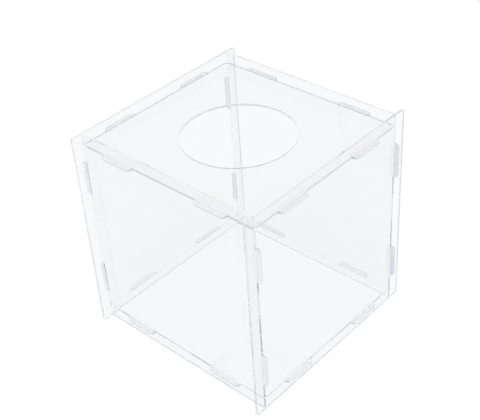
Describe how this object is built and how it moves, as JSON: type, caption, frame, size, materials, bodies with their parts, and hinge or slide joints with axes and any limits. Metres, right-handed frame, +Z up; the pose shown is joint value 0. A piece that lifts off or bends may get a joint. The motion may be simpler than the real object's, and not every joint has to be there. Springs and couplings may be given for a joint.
{
  "type": "donation box",
  "caption": "Clear acrylic donation box of flat sheets knocked together by push-through tabs in slots, with a large round hand hole in its recessed top panel.",
  "frame": {"origin": "on the floor, under the middle of the box", "axes": "+Z up, the front wall faces -Y, the right wall faces +X"},
  "size_m": [0.3, 0.3, 0.3],
  "materials": {
    "clear_acrylic": "clear, polished faces, sawn or laser-cut edges"
  },
  "bodies": {
    "core": {"front_wall": "clear_acrylic", "rear_wall": "clear_acrylic", "top_panel": "clear_acrylic", "base_panel": "clear_acrylic"},
    "left_side": {"left_wall": "clear_acrylic"},
    "right_side": {"right_wall": "clear_acrylic"}
  },
  "joints": [
    {"name": "left_wall_pull", "type": "slide", "parent": "core", "child": "left_side", "axis": [-1, 0, 0], "range_m": [0, 0.06]},
    {"name": "right_wall_pull", "type": "slide", "parent": "core", "child": "right_side", "axis": [1, 0, 0], "range_m": [0, 0.06]}
  ]
}
